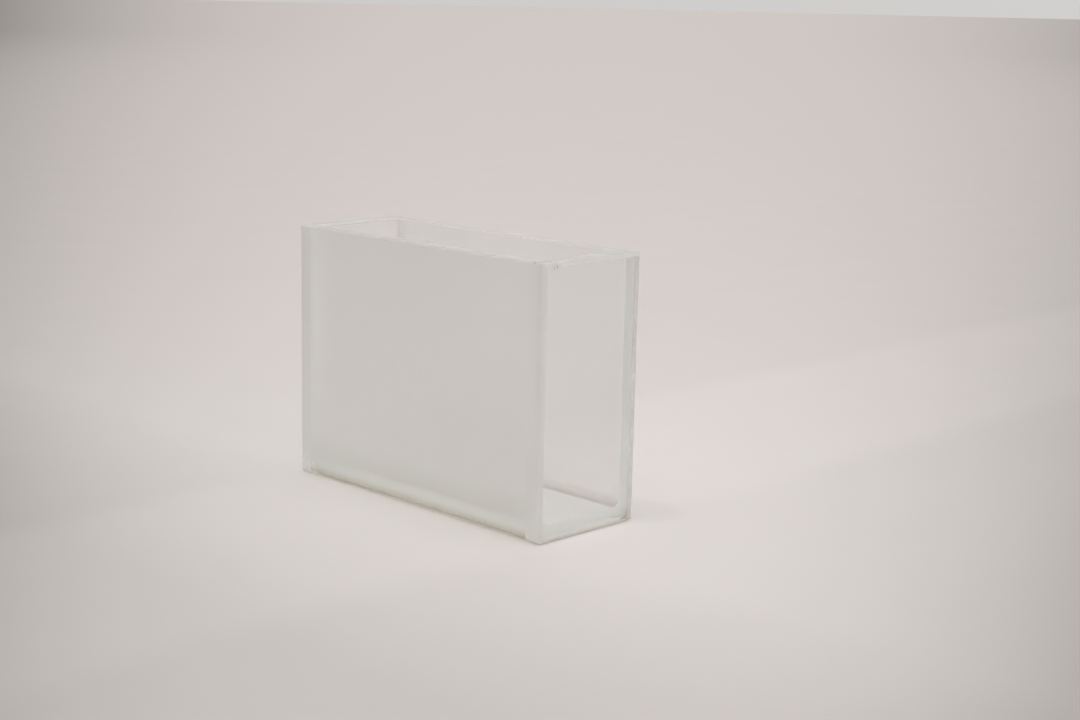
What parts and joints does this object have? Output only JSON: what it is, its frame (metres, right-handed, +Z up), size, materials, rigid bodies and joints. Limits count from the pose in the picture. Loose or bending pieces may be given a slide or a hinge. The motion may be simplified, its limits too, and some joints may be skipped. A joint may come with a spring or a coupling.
{
  "type": "cuvette",
  "caption": "Open-topped rectangular glass cell: a frosted U-shaped trough, closed by a clear flat window at each end.",
  "frame": {"origin": "centre of the foot, on the surface that the cell stands on", "axes": "+X along the light path towards the front window, +Y across the two side walls, +Z up through the open mouth"},
  "size_m": [0.0556, 0.0204, 0.041],
  "materials": {
    "trough_glass": "ground, even fine frosting, faintly warm grey with a green tinge at the thick foot",
    "front_window_glass": "polished clear faces, ground edges and bevels",
    "rear_window_glass": "polished clear faces, ground edges and bevels"
  },
  "bodies": {
    "root": {"trough": "trough_glass", "front_window": "front_window_glass", "rear_window": "rear_window_glass"}
  },
  "joints": []
}
